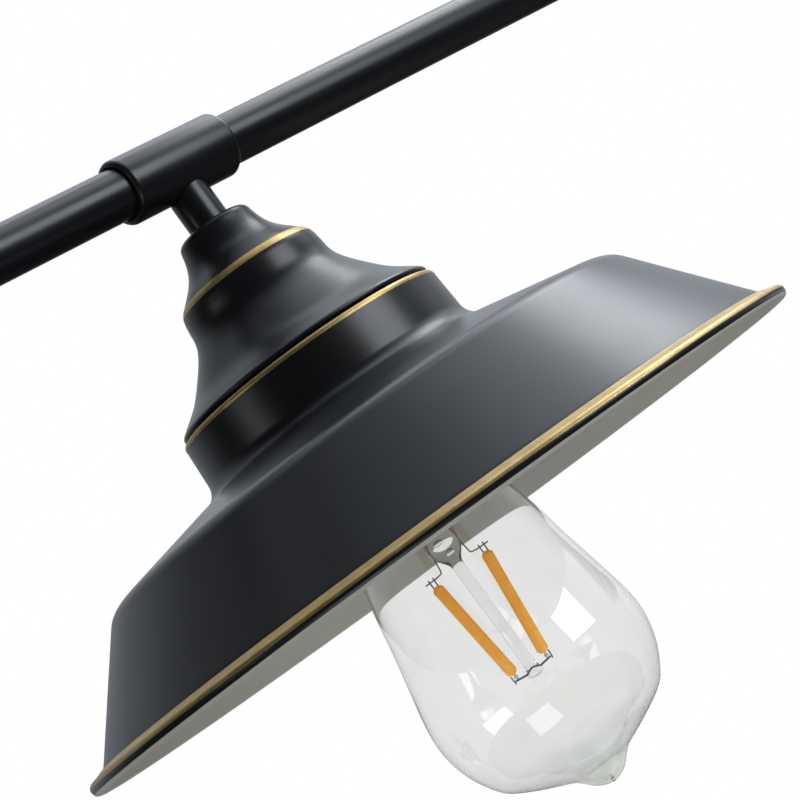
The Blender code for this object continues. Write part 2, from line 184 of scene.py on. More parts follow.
def softbox(name, azimuth, elevation, distance, width, height, radiance):
    """A soft area light aimed at the middle shade, at an azimuth counted from the camera to its right."""
    data = bpy.data.lights.new(name, "AREA")
    data.shape = "RECTANGLE"
    data.size = width
    data.size_y = height
    data.energy = radiance * math.pi * width * height
    data.color = SOFTBOX_COLOUR
    light = bpy.data.objects.new(name, data)
    bpy.context.scene.collection.objects.link(light)
    back = away_from_aim(CAMERA_AZIMUTH + math.radians(azimuth), math.radians(elevation))
    light.location = Vector((HEAD_X["middle"], 0, RIM_Z + SOFTBOX_AIM * MM)) + back * distance
    light.rotation_euler = back.to_track_quat("Z", "Y").to_euler()


def glow(nodes, links, azimuth, elevation, start, strength):
    """A soft patch of the world's light, centred on a direction and fading out where the cosine is start."""
    direction = nodes.new("ShaderNodeTexCoord")
    towards = nodes.new("ShaderNodeVectorMath")
    towards.operation = "DOT_PRODUCT"
    towards.inputs[1].default_value = away_from_aim(CAMERA_AZIMUTH + math.radians(azimuth),
                                                    math.radians(elevation))
    ramp = nodes.new("ShaderNodeMapRange")
    ramp.interpolation_type = "SMOOTHSTEP"
    ramp.inputs["From Min"].default_value = start
    ramp.inputs["To Max"].default_value = strength
    links.new(direction.outputs["Generated"], towards.inputs[0])
    links.new(towards.outputs["Value"], ramp.inputs["Value"])
    return ramp.outputs["Result"]


def make_world():
    """White where it is seen, also through glass. As a light it is dimmer, with a few soft patches."""
    world = bpy.data.worlds.new("studio")
    bpy.context.scene.world = world
    world.use_nodes = True
    nodes, links = world.node_tree.nodes, world.node_tree.links
    nodes.clear()
    output = nodes.new("ShaderNodeOutputWorld")
    seen = nodes.new("ShaderNodeBackground")
    seen.inputs["Color"].default_value = (1, 1, 1, 1)
    lighting = nodes.new("ShaderNodeBackground")
    lighting.inputs["Color"].default_value = (*WORLD_COLOUR, 1)
    strength = AMBIENT
    for patch in GLOWS:
        strength = calculate(nodes, links, "ADD", glow(nodes, links, *patch), strength)
    links.new(strength, lighting.inputs["Strength"])
    choose = nodes.new("ShaderNodeMixShader")
    path = nodes.new("ShaderNodeLightPath")
    directly = calculate(nodes, links, "MAXIMUM", path.outputs["Is Camera Ray"],
                         path.outputs["Is Transmission Ray"])
    links.new(directly, choose.inputs["Fac"])
    links.new(lighting.outputs["Background"], choose.inputs[1])
    links.new(seen.outputs["Background"], choose.inputs[2])
    links.new(choose.outputs["Shader"], output.inputs["Surface"])


def make_floor(material):
    """A plain floor, far enough down for views from below."""
    bpy.ops.mesh.primitive_plane_add(size=FLOOR_SIZE, location=(0, 0, cad_low.z - FLOOR_DROP))
    floor = bpy.context.object
    floor.name = "floor"
    floor.data.materials.append(material)


# ---------------------------------------------------------------- materials

def new_material(name):
    """A material with its own nodes, which the functions below link up."""
    material = bpy.data.materials.new(name)
    material.use_nodes = True
    return material, material.node_tree.nodes, material.node_tree.links


def place_in_piece(nodes):
    """Where a point lies in its piece, in metres."""
    return nodes.new("ShaderNodeTexCoord").outputs["Object"]


def noise(nodes, links, scale, detail=3):
    """Noise with this many waves to a metre."""
    texture = nodes.new("ShaderNodeTexNoise")
    texture.inputs["Scale"].default_value = scale
    texture.inputs["Detail"].default_value = detail
    links.new(place_in_piece(nodes), texture.inputs["Vector"])
    return texture.outputs["Fac"]


def spread(nodes, links, value, low, high, start=0.3, end=0.7):
    """Map a texture's values from start..end on to low..high."""
    mapped = nodes.new("ShaderNodeMapRange")
    mapped.inputs["From Min"].default_value = start
    mapped.inputs["From Max"].default_value = end
    mapped.inputs["To Min"].default_value = low
    mapped.inputs["To Max"].default_value = high
    links.new(value, mapped.inputs["Value"])
    return mapped.outputs["Result"]


def calculate(nodes, links, operation, first, second):
    """A maths node on two values, each a number or the output of another node."""
    node = nodes.new("ShaderNodeMath")
    node.operation = operation
    for socket, value in zip(node.inputs, (first, second)):
        if isinstance(value, float):
            socket.default_value = value
        else:
            links.new(value, socket)
    return node.outputs["Value"]


def blend_colours(nodes, links, factor, first, second):
    """Mix two colours, each a tuple or the output of another node."""
    mix = nodes.new("ShaderNodeMix")
    mix.data_type = "RGBA"
    links.new(factor, mix.inputs["Factor"])
    for socket, colour in ((mix.inputs[6], first), (mix.inputs[7], second)):
        if isinstance(colour, tuple):
            socket.default_value = (*colour, 1)
        else:
            links.new(colour, socket)
    return mix.outputs[2]


def add_bump(nodes, links, shader, height, distance, strength):
    """Let a texture's value stand up from the surface by a distance in metres."""
    bump = nodes.new("ShaderNodeBump")
    bump.inputs["Distance"].default_value = distance
    bump.inputs["Strength"].default_value = strength
    links.new(height, bump.inputs["Height"])
    links.new(bump.outputs["Normal"], shader.inputs["Normal"])


def painted_black():
    """Satin black enamel: a slow drift in tone, fine orange peel and a few specks of dust."""
    material, nodes, links = new_material("satin_black_paint")
    shader = nodes["Principled BSDF"]
    drift = spread(nodes, links, noise(nodes, links, 18), 0, 1)
    base = blend_colours(nodes, links, drift, (0.0095, 0.0105, 0.0130), (0.0120, 0.0132, 0.0158))
    dust = nodes.new("ShaderNodeTexVoronoi")
    dust.inputs["Scale"].default_value = 90
    links.new(place_in_piece(nodes), dust.inputs["Vector"])
    near = spread(nodes, links, dust.outputs["Distance"], 1, 0, 0.012, 0.022)
    rare = spread(nodes, links, noise(nodes, links, 60), 0, 1, 0.60, 0.62)
    speck = calculate(nodes, links, "MULTIPLY", near, rare)
    colour = blend_colours(nodes, links, speck, base, (0.20, 0.20, 0.19))
    links.new(colour, shader.inputs["Base Color"])
    links.new(spread(nodes, links, noise(nodes, links, 45), 0.29, 0.34), shader.inputs["Roughness"])
    shader.inputs["IOR"].default_value = 1.5
    add_bump(nodes, links, shader, noise(nodes, links, 1500, 2), 0.00003, 0.35)
    return material


def painted_gold():
    """Brushed-on gold paint: browner patches under fine bright metal flakes."""
    material, nodes, links = new_material("gold_paint")
    shader = nodes["Principled BSDF"]
    patches = spread(nodes, links, noise(nodes, links, 220, 4), 0, 1)
    base = blend_colours(nodes, links, patches, (0.45, 0.30, 0.105), (0.60, 0.425, 0.17))
    flake = spread(nodes, links, noise(nodes, links, 4200, 1), 0, 1, 0.62, 0.75)
    colour = blend_colours(nodes, links, flake, base, (0.85, 0.66, 0.34))
    links.new(colour, shader.inputs["Base Color"])
    shader.inputs["Metallic"].default_value = 0.75
    links.new(spread(nodes, links, noise(nodes, links, 900), 0.34, 0.46), shader.inputs["Roughness"])
    add_bump(nodes, links, shader, noise(nodes, links, 3000, 2), 0.00004, 0.4)
    return material


def painted_white():
    """The shade's white inside: warm white enamel with a faint drift and orange peel."""
    material, nodes, links = new_material("white_enamel")
    shader = nodes["Principled BSDF"]
    drift = spread(nodes, links, noise(nodes, links, 14), 0, 1)
    links.new(blend_colours(nodes, links, drift, (0.65, 0.605, 0.515), (0.70, 0.655, 0.56)),
              shader.inputs["Base Color"])
    links.new(spread(nodes, links, noise(nodes, links, 60), 0.40, 0.48), shader.inputs["Roughness"])
    add_bump(nodes, links, shader, noise(nodes, links, 1200, 2), 0.00003, 0.3)
    return material


def metal(name, dark, light, roughness):
    """Metal with a slight tarnish and fine pits."""
    material, nodes, links = new_material(name)
    shader = nodes["Principled BSDF"]
    tarnish = spread(nodes, links, noise(nodes, links, 150, 5), 0, 1)
    links.new(blend_colours(nodes, links, tarnish, dark, light), shader.inputs["Base Color"])
    shader.inputs["Metallic"].default_value = 1.0
    links.new(spread(nodes, links, noise(nodes, links, 400), roughness - 0.05, roughness + 0.08),
              shader.inputs["Roughness"])
    add_bump(nodes, links, shader, noise(nodes, links, 2500, 2), 0.00003, 0.3)
    return material


def plastic(name, dark, light, roughness):
    """Moulded plastic, faintly mottled, with a fine grain."""
    material, nodes, links = new_material(name)
    shader = nodes["Principled BSDF"]
    mottle = spread(nodes, links, noise(nodes, links, 90, 4), 0, 1)
    links.new(blend_colours(nodes, links, mottle, dark, light), shader.inputs["Base Color"])
    links.new(spread(nodes, links, noise(nodes, links, 500), roughness - 0.05, roughness + 0.07),
              shader.inputs["Roughness"])
    add_bump(nodes, links, shader, noise(nodes, links, 2000, 2), 0.00004, 0.4)
    return material


def clear_glass(name, waviness):
    """Blown glass: clear, with slow waves and faint smears, and greyer streaks near the thick tip: its own
    tint and painted shade.
    """
    material, nodes, links = new_material(name)
    shader = nodes["Principled BSDF"]
    shader.inputs["Transmission Weight"].default_value = 1.0
    shader.inputs["IOR"].default_value = 1.47
    smears = spread(nodes, links, noise(nodes, links, 70, 4), 0, 1, 0.55, 0.75)
    clear = blend_colours(nodes, links, smears, (0.90, 0.905, 0.90), (0.87, 0.875, 0.87))
    split = nodes.new("ShaderNodeSeparateXYZ")
    links.new(place_in_piece(nodes), split.inputs["Vector"])
    near_tip = spread(nodes, links, split.outputs["Z"], 1, 0, (BULB_TIP + 2) * MM, (BULB_TIP + 17) * MM)
    streaks = spread(nodes, links, noise(nodes, links, 110, 3), 0.1, 1, 0.4, 0.65)
    # painted shade, mixed with the thick glass's own tint: grey-green streaks that darken the glass towards
    # its tip
    tip_tint_and_shade = calculate(nodes, links, "MULTIPLY", near_tip, streaks)
    links.new(blend_colours(nodes, links, tip_tint_and_shade, clear, (0.68, 0.71, 0.655)), shader.inputs["Base Color"])
    links.new(spread(nodes, links, noise(nodes, links, 120, 4), 0.0, 0.02, 0.5, 0.8),
              shader.inputs["Roughness"])
    add_bump(nodes, links, shader, noise(nodes, links, 60, 1), waviness, 0.5)
    return material


def phosphor():
    """Orange phosphor silicone of an LED filament: slightly lumpy, with a faint glow, partly real
    fluorescence and partly painted light.
    """
    material, nodes, links = new_material("filament_phosphor")
    shader = nodes["Principled BSDF"]
    lumps = spread(nodes, links, noise(nodes, links, 500, 3), 0, 1)
    colour = blend_colours(nodes, links, lumps, (0.90, 0.36, 0.02), (1.0, 0.46, 0.05))
    links.new(colour, shader.inputs["Base Color"])
    # painted light: a faint glow in the phosphor's own colour that brightens the filaments behind the glass,
    # on top of its real fluorescence
    links.new(colour, shader.inputs["Emission Color"])
    shader.inputs["Emission Strength"].default_value = 0.3
    shader.inputs["Subsurface Weight"].default_value = 0.15
    shader.inputs["Subsurface Radius"].default_value = (0.001, 0.0006, 0.0002)
    shader.inputs["Subsurface Scale"].default_value = 1.0
    links.new(spread(nodes, links, noise(nodes, links, 800), 0.35, 0.5), shader.inputs["Roughness"])
    add_bump(nodes, links, shader, noise(nodes, links, 900, 2), 0.0001, 0.5)
    return material


def pale_floor():
    """Matt white floor with a slow, faint drift in tone."""
    material, nodes, links = new_material("pale_floor")
    shader = nodes["Principled BSDF"]
    drift = noise(nodes, links, 3)
    links.new(blend_colours(nodes, links, drift, (0.86, 0.86, 0.845), (0.89, 0.89, 0.875)),
              shader.inputs["Base Color"])
    shader.inputs["Roughness"].default_value = 0.8
    return material


# ---------------------------------------------------------------- turned pieces

def arc(centre_r, centre_z, radius, start, end, steps):
    """Points (r, z) along a circular arc, with its angles in degrees from the +r direction."""
    points = []
    for step in range(steps + 1):
        angle = math.radians(start + (end - start) * step / steps)
        points.append((centre_r + radius * math.cos(angle), centre_z + radius * math.sin(angle)))
    return points


def rounded(corners, steps=10):
    """An outline through (r, z, radius) corners, each one rounded with an arc of its radius."""
    outline = [corners[0][:2]]
    for before, corner, after in zip(corners, corners[1:], corners[2:]):
        point, radius = Vector(corner[:2]), corner[2]
        arriving = (point - Vector(before[:2])).normalized()
        leaving = (Vector(after[:2]) - point).normalized()
        bend = arriving.angle(leaving)
        reach = radius * math.tan(bend / 2)
        first, last = point - arriving * reach, point + leaving * reach
        inwards = (leaving - arriving).normalized()
        centre = point + inwards * (radius / math.cos(bend / 2))
        for step in range(steps + 1):
            spoke = (first - centre).lerp(last - centre, step / steps)
            outline.append(tuple(centre + spoke.normalized() * radius))
    return outline + [corners[-1][:2]]


def smooth(points, steps):
    """A smooth curve through given (r, z) points (Catmull-Rom)."""
    curve = []
    for i in range(len(points) - 1):
        a = Vector(points[max(i - 1, 0)])
        b, c = Vector(points[i]), Vector(points[i + 1])
        d = Vector(points[min(i + 2, len(points) - 1)])
        for step in range(steps):
            t = step / steps
            curve.append(tuple(0.5 * (2 * b + (c - a) * t + (2 * a - 5 * b + 4 * c - d) * t * t
                                      + (3 * b - a - 3 * c + d) * t ** 3)))
    return curve + [tuple(points[-1])]


def offset(outline, distance):
    """The outline moved to its inner side (or its outer side, for a negative distance)."""
    moved = []
    for i, (r, z) in enumerate(outline):
        before, after = Vector(outline[max(i - 1, 0)]), Vector(outline[min(i + 1, len(outline) - 1)])
        along = (after - before).normalized()
        moved.append((r + along.y * distance, z - along.x * distance))
    return moved


def sheet(outline, thickness):
    """The closed section of sheet metal whose outer side is the outline."""
    return outline + offset(outline, thickness)[::-1]


def stretch(outline, start, end):
    """The part of an outline between the points nearest to start and end."""
    def nearest(target):
        return min(range(len(outline)), key=lambda i: (Vector(outline[i]) - Vector(target)).length)
    return outline[nearest(start):nearest(end) + 1]


def divide(outline, longest):
    """Add points so that no step along the outline is longer than this."""
    fine = [outline[0]]
    for a, b in zip(outline, outline[1:]):
        count = max(1, math.ceil((Vector(b) - Vector(a)).length / longest))
        fine += [tuple(Vector(a).lerp(Vector(b), step / count)) for step in range(1, count + 1)]
    return fine


def painted_band(outline, start, end, proud):
    """The closed section of a line of paint on an outline, proud of it by this much and sunk 0.05 into it."""
    line = stretch(divide(outline, 0.1), start, end)
    return offset(line, -proud) + offset(line, 0.05)[::-1]


def finish_mesh(name, shape, sharp):
    """Turn a bmesh into an object in the scene, smooth except where faces meet at more than sharp degrees."""
    mesh = bpy.data.meshes.new(name)
    shape.to_mesh(mesh)
    shape.free()
    mesh.shade_smooth()
    mesh.set_sharp_from_angle(angle=math.radians(sharp))
    piece = bpy.data.objects.new(name, mesh)
    bpy.context.scene.collection.objects.link(piece)
    return piece


def lathe(name, outline, closed=True, segments=ROUND, place=(0, 0, 0), turn=(0, 0, 0), sharp=40):
    """Turn an outline of (radius, height) in millimetres, running down its outer side, into a mesh."""
    shape = bmesh.new()
    rings = []
    for r, z in outline:
        if r < 1e-6:
            rings.append([shape.verts.new((0, 0, z * MM))])
            continue
        ring = []
        for i in range(segments):
            angle = TURN * i / segments
            ring.append(shape.verts.new((r * MM * math.cos(angle), r * MM * math.sin(angle), z * MM)))
        rings.append(ring)
    pairs = list(zip(rings, rings[1:]))
    if closed:
        pairs.append((rings[-1], rings[0]))
    for upper, lower in pairs:
        for i in range(segments):
            corners = [upper[i % len(upper)], lower[i % len(lower)],
                       lower[(i + 1) % len(lower)], upper[(i + 1) % len(upper)]]
            distinct = list(dict.fromkeys(corners))
            if len(distinct) > 2:
                shape.faces.new(distinct)
    piece = finish_mesh(name, shape, sharp)
    piece.location = place
    piece.rotation_euler = turn
    return piece


def fit(piece, body, slot, material, *nodes):
    """Give a piece its material and its body, and hide the CAD nodes that it stands for. The slot is not
    used.
    """
    piece.data.materials.clear()
    piece.data.materials.append(material)
    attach(piece, body)
    if nodes:
        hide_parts(*nodes)


def along_bar(sign):
    """The turn that lays a turned piece's axis along the bar, towards its right (1) or left (-1) end."""
    return (0, sign * math.pi / 2, 0)


# ---------------------------------------------------------------- lamp heads

def shade_outline():
    """The shade's outer side: flat top, neck, fillet, wide flare, round crease, straight skirt."""
    return rounded([(20.0, SHADE_TOP, 0), (40.0, SHADE_TOP, 1.1), (40.9, 44.4, 5.9), (80.35, 35.15, 9.0),
                    (103.6, 5.5, 0)])


def bead_point(angle):
    """The point on the rolled rim at an angle in degrees, with 0 facing outwards."""
    angle = math.radians(angle)
    return (BEAD_R + BEAD * math.cos(angle), BEAD_Z + BEAD * math.sin(angle))


def rim_outline():
    """The rim's outer side: a small outward flange, then the bead rolled down and under."""
    flange = arc(105.2, 5.6, 1.3, 205, 285, 6)
    bead = arc(BEAD_R, BEAD_Z, BEAD, 100, -142, 26)
    return flange + bead


def cap_outline():
    """The cap's outer side: flat top, short neck, flare, round shoulder and a bell down to its lip."""
    top = [(5.5, CAP_HIGH)] + arc(8.7, CAP_HIGH - 2.3, 2.3, 90, 18, 10)
    flare = smooth([(10.95, 102.8), (11.35, 101.0), (12.1, 98.6), (13.3, 96.2), (14.9, 94.1), (16.6, 92.4),
                    (18.1, 91.0), (19.3, 89.85)], 5)
    shoulder = arc(15.6, 85.7, 5.55, 47, 8, 10)
    bell = smooth([(21.35, 84.6), (21.75, 81.3), (22.9, 78.4), (25.9, 74.2), (31.6, 67.8), (37.0, 63.6),
                   (38.6, 62.4)], 6)
    lip = arc(38.35, CAP_LOW + 0.85, CAP_LIP - 38.35, 40, -60, 6)
    return top + flare + shoulder + bell + lip


def glass_outline():
    """The bulb's glass from the neck in its base to the pinched tip."""
    belly = arc(BULB_RADIUS - 29.3, -41.0, 29.3, 0, -42, 4)
    neck = [(11.7, 58.0), (11.7, 48.0), (11.9, 43.2), (13.3, 39.6), (16.0, 32.5), (20.8, 15.5),
            (25.3, -3.8), (27.4, -15.2), (29.6, -25.6), (31.4, -34.5)]
    tip = [(19.3, -63.9), (12.8, -67.0), (9.0, -68.7), (7.1, -70.2), (4.7, -72.6), (2.4, -73.9),
           (0.0, BULB_TIP)]
    return smooth(neck + belly + tip, 8)


def make_shade(side, paints):
    """The spun shade with its rolled rim, its white lining, and gold lines on the rim and round its top."""
    place = head_place(side)
    outer = shade_outline()
    rim = rim_outline()
    inside = offset(outer, SHADE_SHEET)
    shade = lathe("shade_shell_" + side, outer + rim + inside[::-1], place=place)
    fit(shade, "lamp", "black_paint", paints["black"], "shade_" + side)
    under_bead = [bead_point(angle) for angle in range(-142, -30, 6)]
    lining_line = offset(inside + under_bead, 0.02)
    lining = lathe("shade_lining_" + side, sheet(lining_line, LINING), place=place)
    fit(lining, "lamp", "white_enamel", paints["white"])
    rim_gold = painted_band(rim, rim[2], bead_point(12), 0.06)
    fit(lathe("rim_gold_" + side, rim_gold, place=place), "lamp", "gold_paint", paints["gold"])
    top_gold = painted_band(outer, (39.3, SHADE_TOP - 0.05), (40.05, SHADE_TOP - 1.4), 0.05)
    fit(lathe("top_gold_" + side, top_gold, place=place), "lamp", "gold_paint", paints["gold"])


def make_cap(side, paints):
    """The cap over the lamp holder, with a gold line round its shoulder."""
    outer = cap_outline()
    cap = lathe("cap_shell_" + side, sheet(outer, CAP_SHEET), place=head_place(side))
    fit(cap, "lamp", "black_paint", paints["black"], "cap_" + side)
    band = painted_band(outer, (19.35, 89.8), (20.95, 88.0), 0.07)
    fit(lathe("cap_gold_" + side, band, place=head_place(side)), "lamp", "gold_paint", paints["gold"])


def make_stem(side, paints):
    """An upright tube whose upper end is cut to the round collar, with its edge slightly rounded off."""
    x, radius, low_z = HEAD_X[side], STEM_RADIUS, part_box("stem_" + side)[0].z
    edge, sink, steps = STEM_EDGE * MM, STEM_SINK * MM, 5
    profile = [(radius, None)]                # (radius, gap to the collar), from the lower end up
    for step in range(steps + 1):
        turn = math.pi / 2 * step / steps
        profile.append((radius - edge * (1 - math.cos(turn)), edge * (1 - math.sin(turn)) - sink))
    shape = bmesh.new()
    rings = []
    for r, gap in profile:
        ring = []
        for i in range(SMALL_ROUND):
            angle = TURN * i / SMALL_ROUND
            y = r * math.sin(angle)
            z = low_z if gap is None else BAR_Z - math.sqrt(COLLAR_RADIUS ** 2 - y * y) - gap
            ring.append(shape.verts.new((x + r * math.cos(angle), y, z)))
        rings.append(ring)
    for a, b in zip(rings, rings[1:]):
        for i in range(SMALL_ROUND):
            j = (i + 1) % SMALL_ROUND
            shape.faces.new((a[i], a[j], b[j], b[i]))
    stem = finish_mesh("stem_tube_" + side, shape, 60)
    fit(stem, "lamp", "black_paint", paints["black"], "stem_" + side)


def make_collar(name, x, paints, node):
    """The sleeve on the bar: rounded edges and a shallow recess where the bar goes in."""
    half = COLLAR_LENGTH / 2 / MM
    outer = COLLAR_RADIUS / MM
    inner = BAR_RADIUS / MM + 0.05
    edge = 1.3
    recess = half - 1.5
    outline = (arc(outer - edge, half - edge, edge, 90, 0, 8)
               + arc(outer - edge, -half + edge, edge, 0, -90, 8)
               + [(inner + 0.5, -half), (inner + 0.5, -recess), (inner, -recess),
                  (inner, recess), (inner + 0.3, recess), (inner + 0.3, half)])
    collar = lathe(name, outline, segments=96, place=(x, 0, BAR_Z), turn=along_bar(1))
    fit(collar, "lamp", "black_paint", paints["black"], node)


def make_bars(paints):
    """The bar's two tubes: round, and open at the ends that meet inside the middle collar."""
    for side, sign in ENDS.items():
        low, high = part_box("bar_" + side)
        near, far = sorted((low.x * sign / MM, high.x * sign / MM))
        outer = BAR_RADIUS / MM
        outline = [(outer, far), (outer, near), (outer - BAR_WALL, near), (outer - BAR_WALL, far)]
        bar = lathe("bar_tube_" + side, divide(outline, 40), segments=96, place=(0, 0, BAR_Z),
                    turn=along_bar(sign))
        fit(bar, "lamp", "black_paint", paints["black"], "bar_" + side)


def make_rods(paints):
    """The two hanging rods, from the collars on the bar up to the swivel balls."""
    for side in ENDS:
        low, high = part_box("rod_" + side)
        radius = (high.x - low.x) / 2 / MM
        length = (high.z - low.z) / MM
        outline = [(radius, length), (radius, 0), (radius - ROD_WALL, 0), (radius - ROD_WALL, length)]
        rod = lathe("rod_tube_" + side, divide(outline, 30), segments=72, place=(ROD_X[side], 0, low.z))
        fit(rod, "lamp", "black_paint", paints["black"], "rod_" + side)


def wire(name, side, route, radius):
    """A round wire in a bulb, in the plane of its filaments, through (x, z) points."""
    curve = bpy.data.curves.new(name, "CURVE")
    curve.dimensions = "3D"
    curve.bevel_depth = radius * MM
    curve.bevel_resolution = 3
    curve.use_fill_caps = True
    spline = curve.splines.new("POLY")
    spline.points.add(len(route) - 1)
    for target, (x, z) in zip(spline.points, route):
        target.co = (x * MM, 0, z * MM, 1)
    bent = bpy.data.objects.new(name, curve)
    mesh = bpy.data.meshes.new_from_object(bent)
    bpy.data.objects.remove(bent)
    mesh.shade_smooth()
    piece = bpy.data.objects.new(name, mesh)
    bpy.context.scene.collection.objects.link(piece)
    piece.location = head_place(side)
    piece.rotation_euler = (0, 0, FILAMENT_TURN)
    return piece


def bend(points, radius=0.8):
    """Round the corners of a wire's route through (x, z) points."""
    return rounded([(x, z, radius) for x, z in points], 5)


def into_bulb(piece, side, x, z, lean=0.0):
    """Move a piece into the plane of the filaments, to (x, z) from the middle of the shade's rim."""
    upright = Matrix.Translation((x * MM, 0, z * MM)) @ Matrix.Rotation(lean, 4, "Y")
    piece.data.transform(Matrix.Rotation(FILAMENT_TURN, 4, "Z") @ upright)
    piece.location = head_place(side)


def make_filament(side, number, sign, paints):
    """One orange stick, a little flattened, that leans inwards on its way down."""
    half = (FILAMENT_TOP - FILAMENT_LOW) / 2
    end, tip, waist = 1.5, 1.42, 1.4          # radii of the round ends, next to them, and half-way
    outline = (arc(0, half - end, end, 90, 10, 6) + [(tip, half - 4), (waist, 0), (tip, 4 - half)]
               + arc(0, end - half, end, -10, -90, 6))
    stick = lathe(f"filament_{side}_{number}", outline, closed=False, segments=24)
    stick.data.transform(Matrix.Diagonal((1.12, 0.85, 1.0, 1.0)))
    lean = sign * math.atan2(TOP_SPREAD - LOW_SPREAD, 2 * half)
    into_bulb(stick, side, sign * (TOP_SPREAD + LOW_SPREAD) / 2, (FILAMENT_TOP + FILAMENT_LOW) / 2, lean)
    stands_for = ["bulb_filaments_" + side] if number == 0 else []
    fit(stick, "bulb_" + side, "phosphor", paints["phosphor"], *stands_for)


def pin_routes(sign):
    """A filament's steel pins: two and a crossbar at its top, a hook to its lead, and two at its foot."""
    top, low = sign * TOP_SPREAD, sign * LOW_SPREAD
    return [bend([(top - 0.65, FILAMENT_TOP - 1), (top - 0.7, FILAMENT_TOP + 2.3)]),
            bend([(top + 0.65, FILAMENT_TOP - 1), (top + 0.7, FILAMENT_TOP + 2.3)]),
            bend([(top - 2.0, FILAMENT_TOP + 1.5), (top + 2.0, FILAMENT_TOP + 1.5)]),
            bend([(top - 1.2 * sign, FILAMENT_TOP + 1.5), (top - 3.4 * sign, FILAMENT_TOP + 1.8),
                  (top - 3.8 * sign, FILAMENT_TOP + 6.0)]),
            bend([(low, FILAMENT_LOW + 1), (low - 0.2 * sign, FILAMENT_LOW - 1.8)]),
            bend([(low + 1.2 * sign, FILAMENT_LOW + 0.2), (low + 1.0 * sign, FILAMENT_LOW - 2.2)])]


def make_leads(side, number, sign, paints):
    """A filament's pins, its copper lead up into the base, and a dab of white at its foot."""
    for count, route in enumerate(pin_routes(sign)):
        pin = wire(f"filament_pin_{side}_{number}_{count}", side, route, 0.2)
        fit(pin, "bulb_" + side, "zinc", paints["dark_wire"])
    hook = (sign * (TOP_SPREAD - 3.8), FILAMENT_TOP + 5.6)
    route = bend([hook, (sign * 3.4, 5.0), (sign * 1.8, 14.0), (sign * 1.8, 44.0)])
    lead = wire(f"lead_{side}_{number}", side, route, 0.3)
    fit(lead, "bulb_" + side, "brass", paints["copper"])
    dab = lathe(f"weld_dab_{side}_{number}", arc(0, 0, 0.62, 90, -90, 8), closed=False, segments=16)
    into_bulb(dab, side, sign * LOW_SPREAD, FILAMENT_LOW - 0.6)
    fit(dab, "bulb_" + side, "white_nylon", paints["nylon"])


def make_filaments(side, paints):
    """Two filaments in series, with a kinked bridge between their feet."""
    for number, sign in enumerate((-1, 1)):
        make_filament(side, number, sign, paints)
        make_leads(side, number, sign, paints)
    reach, kink = LOW_SPREAD + 0.8, 1.4
    route = bend([(-reach, FILAMENT_LOW - 1.5), (-kink, FILAMENT_LOW - 2.0), (0, FILAMENT_LOW - 1.2),
                  (kink, FILAMENT_LOW - 2.0), (reach, FILAMENT_LOW - 1.5)], 0.5)
    bridge = wire("filament_bridge_" + side, side, route, 0.28)
    fit(bridge, "bulb_" + side, "zinc", paints["dark_wire"])


def stem_outline():
    """The bulb's glass stem: a flare in the base, a pinch, a rod and a small foot, then its bore back up."""
    flare = [(9.4, 55.0)] + smooth([(9.4, 52.0), (6.8, 34.0), (5.4, 20.0), (4.7, 9.0), (4.3, 1.5),
                                    (3.6, -2.0), (2.4, -4.0), (1.75, -5.2), (1.66, -7.0)], 6)
    rod = [(1.65, -20.0), (1.65, -36.5)]
    foot = smooth([(1.65, -37.0), (2.0, -38.5), (2.5, -39.6)], 3) + [(2.4, -40.3), (1.6, -40.9), (0, -41.1)]
    bore = smooth([(0, 6.6), (1.5, 7.4), (3.3, 11.0), (4.2, 20.0), (5.8, 34.0), (8.4, 52.0)], 6)
    return flare + rod + foot + bore + [(8.6, 55.0)]


def make_glass_stem(side, paints):
    """The glass stem that carries the filaments, with two air bubbles in its pinch."""
    stem = lathe("glass_stem_" + side, stem_outline(), segments=64, sharp=60)
    for vertex in stem.data.vertices:         # the pinch is pressed flat across the filaments' plane
        height = vertex.co.z / MM
        press = max(0.0, 1 - abs(height - 2) / 12)
        vertex.co.y *= 1 - 0.5 * press
        vertex.co.x *= 1 + 0.12 * press
    into_bulb(stem, side, 0, 0)
    fit(stem, "bulb_" + side, "clear_glass", paints["stem_glass"], "bulb_stem_" + side)
    for number, (x, z, size) in enumerate(((-0.9, 1.6, 1.35), (0.3, -1.9, 1.1))):
        air = lathe(f"air_bubble_{side}_{number}", arc(0, 0, size, -90, 90, 16), closed=False, segments=32)
        air.data.transform(Matrix.Diagonal((1.0, 0.55, 0.7, 1.0)))
        into_bulb(air, side, x, z)
        fit(air, "bulb_" + side, "clear_glass", paints["stem_glass"])


def threaded(name, low, high, radius, wall, plain_radius, plain_low, plain_high):
    """A thin sleeve rolled with a round right-hand thread, fading out to a plain stretch at each end."""
    around, rows, fade_length = 96, 72, 2
    levels = [low + (high - low) * row / rows for row in range(rows + 1)]
    section = [(height, 0) for height in levels] + [(height, wall) for height in levels[::-1]]
    shape = bmesh.new()
    rings = []
    for height, inset in section:
        fade = min(1, max(0, (height - low - plain_low) / fade_length),
                   max(0, (high - height - plain_high) / fade_length))
        ring = []
        for i in range(around):
            wave = math.cos(TURN * (height / THREAD_PITCH - i / around))
            thread = radius + THREAD_DEPTH * wave
            r = (plain_radius + fade * (thread - plain_radius) - inset) * MM
            angle = TURN * i / around
            ring.append(shape.verts.new((r * math.cos(angle), r * math.sin(angle), height * MM)))
        rings.append(ring)
    for a, b in zip(rings, rings[1:] + rings[:1]):
        for i in range(around):
            j = (i + 1) % around
            shape.faces.new((a[i], a[j], b[j], b[i]))
    return finish_mesh(name, shape, 50)


def make_base(side, paints):
    """The bulb's screw base, with its thread."""
    low, high = heights("bulb_base_" + side)
    base = threaded("screw_base_" + side, low, high, BASE_RADIUS, 0.5, BASE_RADIUS - THREAD_DEPTH, 2.5, 2.0)
    base.location = head_place(side)
    fit(base, "bulb_" + side, "zinc", paints["zinc"], "bulb_base_" + side)


